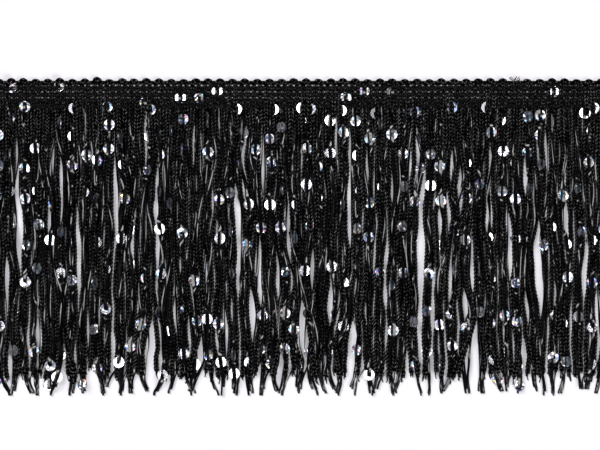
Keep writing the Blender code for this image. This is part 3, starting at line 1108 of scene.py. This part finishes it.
# %% Short arches over the stitched-in sequins
ARCH_REACH, ARCH_DROP, ARCH_TILT = 3.6, 0.09, 0.2
for at in stitched_in:
    if at["y"] > PICOT_SEQUIN_Y:
        continue
    ys = np.arange(at["y"] + ARCH_REACH, at["y"] - ARCH_REACH, -FILM_STEP)
    zs = at["z"] + STRIP_GAP - ARCH_DROP * (ys - at["y"]) ** 2
    turn = np.full(len(ys), at["roll"] + ARCH_TILT * at["side"])
    roll_film(work, np.full(len(ys), at["x"]), ys, zs, turn, np.full(len(ys), STRIP_WIDTH))
threaded = finish_piece(work, "sequin_film_yarns", film, sharp_rims=True)
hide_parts("sequin_fringe")

# %% [markdown]
# ## Second filament of each sequin yarn
#
# A sequin yarn has a second filament with nothing on it. It winds beside the first, passes
# under the sequins and spreads away from it at the tip.

# %% Filaments that wind beside the threaded ones
SECOND_TOKENS = 100
WIND_REACH, WIND_LENGTH = 0.95, (7.0, 10.0)
UNDER_SEQUIN, CLIMB, CLIMB_HEIGHT = 0.45, 2.0, 2.0
TIP_SPREAD, SPREADING = 1.2, (130.0, 142.0)
work = new_work()
for k in range(SCALLOPS):
    token = SECOND_TOKENS + k
    ys = film_stations(token)
    wind = WIND_REACH * np.sin(ys / pick_from(token, 42, *WIND_LENGTH) + start_of_wave(token, 43))
    spread = TIP_SPREAD * swing(token, 31) * step_curve(-ys, *SPREADING)
    xs = loose_tip(read_rows(yarn_rows, k, ys) + wind + spread, ys, k)
    turn = film_turn(ys, token)
    zs = film_height(xs, ys, turn)
    for at in sequins_on(k):
        over = 1.0 - step_curve(np.abs(ys - at["y"]), SEQUIN_RADIUS, SEQUIN_RADIUS + CLIMB)
        below = at["z"] - UNDER_SEQUIN + CLIMB_HEIGHT * (1.0 - over)
        zs = np.where(over > 0.0, np.minimum(zs, below), zs)
    roll_film(work, xs, ys, zs, turn, film_width(ys, token, 0.7, 1.0))
finish_piece(work, "second_film_yarns", film, sharp_rims=True)

# %% [markdown]
# ## Filaments in the gaps between the scallops
#
# More filaments hang between the scallops, close beside a cord. Most of them wander across
# one cord on the way down. Past the cut ends they gather towards the nearest sequin yarn, so
# that the tips hang in loose bunches.

# %% Plain filaments in the gaps
GAP_FILAMENTS, GAP_TOKENS = 80, 200
HUG_GAP = 0.3
WANDER_SHARE, WANDER_AT, WANDER_HALF = 0.7, (30.0, 110.0), 12.0
GAP_WAVER, GAP_WAVE, GAP_START = 0.4, 6.5, 20.0
TIP_GATHER, GATHER_HALF = 0.75, 6.0
work = new_work()
for number in range(GAP_FILAMENTS):
    token = GAP_TOKENS + number
    k = number % SCALLOPS
    ys = film_stations(token)
    left = read_rows(cord_rows, 2 * k + 1, ys)
    right = read_rows(cord_rows, min(2 * k + 2, CORDS - 1), ys)
    hug = np.minimum(np.maximum(right - left, 0.0) / 2, CORD_WIDTH / 2 + HUG_GAP)
    xs = left + hug if part_value(token, 37) < 0.5 else right - hug
    if part_value(token, 38) < WANDER_SHARE:
        to_side = 1.0 if part_value(token, 39) < 0.5 else -1.0
        cross = pick_from(token, 40, *WANDER_AT)
        xs = xs + to_side * LEG * step_curve(-ys, cross - WANDER_HALF, cross + WANDER_HALF)
    free = np.clip((FRINGE_TOP - ys) / GAP_START, 0.0, 1.0)
    xs = xs + free * GAP_WAVER * np.sin(ys / GAP_WAVE + start_of_wave(token, 41))
    gather = TIP_GATHER * step_curve(-ys, -CORD_END - GATHER_HALF, -CORD_END + GATHER_HALF)
    xs = loose_tip(xs + gather * (read_rows(yarn_rows, k, ys) - xs), ys, k)
    turn = film_turn(ys, token)
    roll_film(work, xs, ys, film_height(xs, ys, turn), turn, film_width(ys, token))
finish_piece(work, "plain_film_yarns", film, sharp_rims=True)

# %% [markdown]
# ## Frayed cut ends
#
# A knitted cord loosens where it is cut, and a few of its yarns stand out past the cut and
# spread. They are thin tubes with three sides. Each starts inside its cord, half as deep as it
# stands out, so none of them floats.

# %% Yarns that stand out of the cut ends
FRAY_YARNS, FRAY_TOKENS = 5, 1000
FRAY_ROOT, FRAY_STATIONS, FRAY_SIDES = -0.5, 6, 3
FRAY_WIDTH, FRAY_THICK = 0.6, 0.45
FRAY_LEAST, FRAY_MORE, FEW_FAR = 0.8, 3.4, 2.5
FRAY_SPREAD, FRAY_LEAN, FRAY_ASIDE = 0.25, 0.2, 0.7
FRAY_DROP, FRAY_UNEVEN, FRAY_REST = 0.6, 0.3, 0.3
FRAY_MARGIN = 0.3
work = new_work()
t = np.linspace(FRAY_ROOT, 1.0, FRAY_STATIONS)
past = np.maximum(t, 0.0)
for k in range(CORDS):
    end = routes[k // 2][0 if k % 2 == 0 else -1]
    for number in range(FRAY_YARNS):
        token = FRAY_TOKENS + k * FRAY_YARNS + number
        reach = FRAY_LEAST + FRAY_MORE * part_value(token, 1) ** FEW_FAR
        spread = FRAY_SPREAD * swing(token, 3) * past ** 2 * reach + FRAY_LEAN * swing(k, 64) * t
        xs = within_trim(end[0] + FRAY_ASIDE * swing(token, 2) + spread, FRAY_MARGIN)
        zs = end[2] * (1.0 - FRAY_DROP * past) + FRAY_UNEVEN * swing(token, 5)
        path = np.stack([xs, end[1] - reach * t, np.maximum(zs, FRAY_REST)], axis=1)
        roll_tube(work, path, FRAY_WIDTH, FRAY_THICK, FRAY_SIDES, stitch=STITCH)
print("frayed yarns:", CORDS * FRAY_YARNS)

# %% [markdown]
# ## A worn picot
#
# One picot is worn and has a small tuft of broken yarn on it. The tuft is made of tubes that
# are thinner still, and belongs to the same piece as the frayed ends.

# %% Tuft of broken yarn
WORN_PICOT = 43
TUFT_YARNS = 9
TUFT_WIDTH = 0.3
TUFT_Y, TUFT_REACH, TUFT_LEAN = 5.4, (1.6, 2.5), 2.0
TUFT_ROOTS, TUFT_FLARE, TUFT_CURL, CURL_TURN = 0.6, 0.7, 0.4, 5.0
TUFT_HEIGHT, TUFT_RISE = 1.1, 0.7
t = np.linspace(0.0, 1.0, FRAY_STATIONS)
for number in range(TUFT_YARNS):
    lean = TUFT_LEAN * swing(number, 65)
    xs = yarn_rest[WORN_PICOT] + TUFT_ROOTS * lean + TUFT_FLARE * lean * t
    xs = xs + TUFT_CURL * np.sin(CURL_TURN * t + number)
    ys = TUFT_Y + pick_from(number, 66, *TUFT_REACH) * t
    path = np.stack([xs, ys, TUFT_HEIGHT + TUFT_RISE * t], axis=1)
    roll_tube(work, path, TUFT_WIDTH, TUFT_WIDTH, FRAY_SIDES, stitch=STITCH)
frays = finish_piece(work, "frayed_yarn_ends", chainette_yarn)

# %% [markdown]
# ## Holographic silver sequins
#
# A sequin is punched from polyester film with a vacuum-coated aluminium layer that has been
# embossed with a fine grating. Aluminium film reflects nearly all light, so a sequin that
# faces the lamp is plain white. The grating is stamped in small cells, and each cell bends
# the light its own way: at other angles the cells turn blue, pink or gold, or go dark. These
# colours and the dark are painted into the base colour of each cell as painted reflection,
# on the discs that don't face the lamp. Real cells are a few tenths of a millimetre across,
# and they are drawn coarser here, because they would be too small to show.

# %% Colours of the cells
CELL = 0.9
# Painted reflection: the colours the grating sends back, and the dark of cells that send the light
# away, painted into the base colour.
PAINTED_GRATING_COLOURS = (
    (0.0, "#DCDDE2"), (0.5, "#7FC3E8"), (0.6, "#6F8FE4"), (0.68, "#B08CE0"), (0.73, "#E89BB2"),
    (0.77, "#E8CC78"), (0.81, "#34353C"),
)
foil, tree, shader = new_finish("holographic_aluminised_film", {"Metallic": 1.0})
where = add_node(tree, "TexCoord").outputs["Object"]
shimmer = add_node(tree, "Attribute", {"attribute_name": "shimmer"}).outputs["Fac"]
cells = add_node(tree, "TexVoronoi", {"Scale": 1.0 / (CELL * MM)}, {"Vector": where})
colour = add_node(tree, "SeparateColor", links={"Color": cells.outputs["Color"]})
painted_rainbow = add_node(tree, "ValToRGB", links={"Fac": colour.outputs["Blue"]})
painted_rainbow.color_ramp.interpolation = "CONSTANT"
while len(painted_rainbow.color_ramp.elements) < len(PAINTED_GRATING_COLOURS):
    painted_rainbow.color_ramp.elements.new(0.5)
for stop, (fraction, hex_colour) in zip(painted_rainbow.color_ramp.elements, PAINTED_GRATING_COLOURS):
    stop.position = fraction
    stop.color = linear(hex_colour)
# Plain silver on discs that face the lamp, the painted rainbow reflection on the others.
shade = add_node(tree, "Mix", {"data_type": "RGBA", "A": linear("#D8D9DE")}, {
    "Factor": shimmer, "B": painted_rainbow.outputs["Color"]})
tree.links.new(result(shade), shader.inputs["Base Color"])
print("colours of the grating:", len(PAINTED_GRATING_COLOURS))

# %% [markdown]
# ## Facets of the cells
#
# Each cell also leans its own way, as a facet does. The height of a point in its cell, along
# a direction that is drawn for the cell, goes into a bump. The share of shimmer on the disc
# sets how strong the facets are, and a shimmering disc is a little rougher than a plain one.

# %% Facets and gloss of the cells
FACET_LEAN = 0.65
PLAIN_ROUGHNESS, SHIMMER_ROUGHNESS = 0.24, 0.33
inside = add_node(tree, "VectorMath", {"operation": "SUBTRACT"}, {
    0: where, 1: cells.outputs["Position"]})
lean = add_node(tree, "VectorMath", {"operation": "SUBTRACT", 1: (0.5, 0.5, 0.5)}, {
    0: cells.outputs["Color"]})
slope = add_node(tree, "VectorMath", {"operation": "DOT_PRODUCT"}, {
    0: result(inside), 1: result(lean)})
facet = add_node(tree, "Bump", {"Distance": FACET_LEAN}, {
    "Height": result(slope), "Strength": shimmer})
tree.links.new(result(facet), shader.inputs["Normal"])
roughness = add_node(tree, "MapRange", {
    "From Min": PLAIN_SHIMMER, "From Max": 0.9,
    "To Min": PLAIN_ROUGHNESS, "To Max": SHIMMER_ROUGHNESS}, {"Value": shimmer})
tree.links.new(result(roughness), shader.inputs["Roughness"])
print("sequin material:", foil.name)

# %% [markdown]
# ## Holed discs
#
# A disc is a circle whose rim is extruded inwards to the hole and solidified. It has only a
# few dozen faces, because it is repeated hundreds of times. It is creased along its thread,
# its rim is cupped, and a tucked one bends down under its cord.

# %% Cut and crease a disc
DISC_RADIUS, CUP_RADIUS, HOLE_RADIUS = 2.6, 2.1, 0.55
RIM_STEPS = 12
CUP_DEPTH = 0.22
TUCK_DIP, TUCK_FLAT = 1.1, 0.4


def cut_disc(work):
    """Adds a flat disc with a hole in it and returns its faces."""
    rim = bmesh.ops.create_circle(work, segments=RIM_STEPS, radius=DISC_RADIUS * MM)["verts"]
    lines = []
    for vert in rim:
        lines += [line for line in vert.link_edges if line not in lines]
    faces = []
    for radius, last in ((CUP_RADIUS, DISC_RADIUS), (HOLE_RADIUS, CUP_RADIUS)):
        drawn = bmesh.ops.extrude_edge_only(work, edges=lines)["geom"]
        ring = [item for item in drawn if isinstance(item, bmesh.types.BMVert)]
        faces += [item for item in drawn if isinstance(item, bmesh.types.BMFace)]
        lines = [item for item in drawn if isinstance(item, bmesh.types.BMEdge)
                 and all(end in ring for end in item.verts)]
        bmesh.ops.scale(work, verts=ring, vec=(radius / last, radius / last, 1.0))
    work.verts.ensure_lookup_table()
    return faces


def crease_disc(verts, at, shimmer_layer):
    """Creases a disc along its thread, cups its rim and writes the shimmer of each half."""
    cup = CUP_DEPTH * max(at["shimmer"]) ** 2
    for vert in verts:
        out, radius = vert.co.x / MM, vert.co.to_2d().length / MM
        rise = at["crease"] * abs(out) / DISC_RADIUS
        rise += cup * max(0.0, radius - CUP_RADIUS) / (DISC_RADIUS - CUP_RADIUS)
        if at["style"] == "tucked":
            rise -= TUCK_DIP * max(0.0, at["side"] * (out + at["bury"]) - TUCK_FLAT) / DISC_RADIUS
        vert.co.z = rise * MM
        vert[shimmer_layer] = at["shimmer"][0 if out < 0.0 else 1]


trial = bmesh.new()
print("faces of a disc before it is solidified:", len(cut_disc(trial)))
trial.free()

# %% [markdown]
# ## Sequins in their places
#
# Each disc gets its thickness, is tilted and is moved to its place on its yarn. One whose rim
# would dip into the table is lifted clear of it. The faces are left flat, so that the crease
# and the cupped rim catch the light as separate facets.

# %% Punch the sequins
FOIL_THICK = 0.14


def punch_sequin(work, at):
    """Adds one creased, cupped and tilted sequin to the work, clear of the table."""
    first = len(work.verts)
    faces = cut_disc(work)
    crease_disc(work.verts[first:], at, work.verts.layers.float["shimmer"])
    bmesh.ops.solidify(work, geom=faces, thickness=FOIL_THICK * MM)
    work.verts.ensure_lookup_table()
    disc = work.verts[first:]
    tilt = Matrix.Rotation(at["roll"], 4, "Y") @ Matrix.Rotation(at["pitch"], 4, "X")
    spot = Matrix.Translation(Vector((at["x"], at["y"], at["z"])) * MM)
    bmesh.ops.transform(work, matrix=spot @ tilt, verts=disc)
    lowest = min(vert.co.z for vert in disc)
    lift = max(0.0, TABLE_CLEAR * MM - lowest)
    bmesh.ops.translate(work, verts=disc, vec=(0.0, 0.0, lift))


work = bmesh.new()
work.verts.layers.float.new("shimmer")
for at in sequins:
    punch_sequin(work, at)
discs = finish_piece(work, "sequins", foil, smooth=False)
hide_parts("sequin_fringe")

# %% [markdown]
# ## White table
#
# The trim lies on a plain white table that is painted matt, so it shows no reflection of the
# trim. It is far wider than the picture, so that a view from low down still ends on it.

# %% Table
FLOOR_SIZE, FLOOR_DROP = 30.0, 0.05
floor_work = bmesh.new()
bmesh.ops.create_grid(floor_work, x_segments=1, y_segments=1, size=FLOOR_SIZE / 2)
bmesh.ops.translate(floor_work, verts=floor_work.verts,
                    vec=(0.0, VIEW_MIDDLE_Y * MM, -FLOOR_DROP * MM))
white_table, _, _ = new_finish("white_matt_table", {
    "Base Color": linear("#F4F2F7"), "Roughness": 0.9, "Specular IOR Level": 0.1})
floor = make_object(floor_work, "table", white_table)

# %% [markdown]
# ## Light
#
# The photo has soft studio light. Two broad lights from far off brighten the table evenly,
# one from the back left and a weaker one from the front right, and they leave the slits
# between the cords grey. A dim light all round fills what they miss. One soft lamp overhead
# is the only thing bright enough to flash white in a sequin, and it draws the long streaks on
# the film.

# %% Lamps and the light all round
def place_light(data, place):
    """Puts a light in its place, facing the middle of the picture."""
    light = bpy.data.objects.new(data.name, data)
    bpy.context.scene.collection.objects.link(light)
    light.location = place
    aim = Vector((0.0, VIEW_MIDDLE_Y * MM, 0.0)) - light.location
    light.rotation_euler = aim.to_track_quat("-Z", "Y").to_euler()


OVERHEAD_WIDTH, OVERHEAD_DEPTH, OVERHEAD_HEIGHT = 0.8, 0.45, 1.5
OVERHEAD_RADIANCE = 7.8
overhead = bpy.data.lights.new("overhead_lamp", "AREA")
overhead.shape = "RECTANGLE"
overhead.size = OVERHEAD_WIDTH
overhead.size_y = OVERHEAD_DEPTH
overhead.energy = OVERHEAD_RADIANCE * math.pi * OVERHEAD_WIDTH * OVERHEAD_DEPTH
place_light(overhead, (0.0, VIEW_MIDDLE_Y * MM, OVERHEAD_HEIGHT))

BROAD_LIGHTS = (
    ("back_left_light", (-1.0, 0.9, 1.1), 33.0, 2.2),
    ("front_right_light", (1.05, -1.1, 1.1), 26.4, 1.43),
)
for name, place, across, strength in BROAD_LIGHTS:
    data = bpy.data.lights.new(name, "SUN")
    data.angle = math.radians(across)
    data.energy = strength
    place_light(data, place)

AROUND_STRENGTH = 0.07
world = bpy.data.worlds.new("studio")
world.use_nodes = True
around = world.node_tree.nodes["Background"]
around.inputs["Color"].default_value = linear("#EFECF6")
around.inputs["Strength"].default_value = AROUND_STRENGTH
bpy.context.scene.world = world
bpy.context.scene.view_settings.view_transform = "Standard"
print("lights:", [light.name for light in bpy.data.lights])
